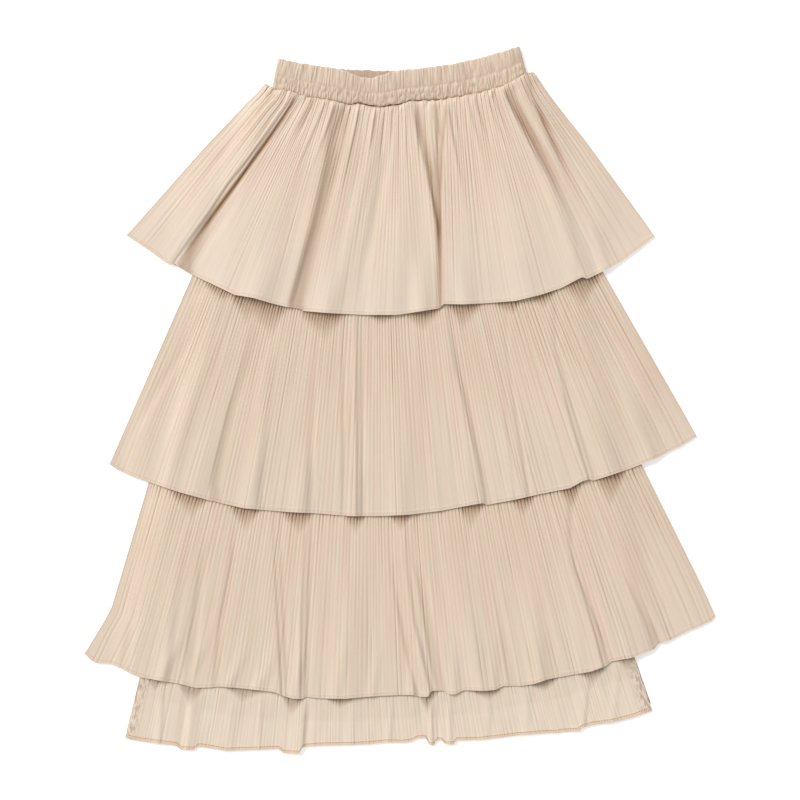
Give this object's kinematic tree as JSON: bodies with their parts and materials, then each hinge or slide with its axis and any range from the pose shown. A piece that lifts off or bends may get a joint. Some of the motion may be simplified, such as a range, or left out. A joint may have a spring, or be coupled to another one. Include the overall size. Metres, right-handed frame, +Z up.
{
  "type": "pleated tiered skirt",
  "caption": "Cream pleated midi skirt laid flat, with a gathered elastic waistband, overlapping pleated flounces and an underskirt that shows below them.",
  "frame": {"origin": "middle of the skirt's outline, on the surface that it lies on", "axes": "+Z up from that surface, waist towards +Y, hem towards -Y, +X to the right seen from above with the front up"},
  "size_m": [0.7842, 0.8774, 0.0223],
  "materials": {
    "flounce_cloth": "fine pleated polyester, soft sheen",
    "underskirt_cloth": "plain-woven polyester, soft sheen",
    "waistband_cloth": "gathered casing over elastic"
  },
  "bodies": {
    "root": {"waistband_front": "waistband_cloth", "waistband_back": "waistband_cloth", "tier_1_front": "flounce_cloth", "tier_1_back": "flounce_cloth", "tier_2_front": "flounce_cloth", "tier_2_back": "flounce_cloth", "tier_3_front": "flounce_cloth", "tier_3_back": "flounce_cloth", "underskirt_front": "underskirt_cloth", "underskirt_back": "underskirt_cloth"}
  },
  "joints": []
}
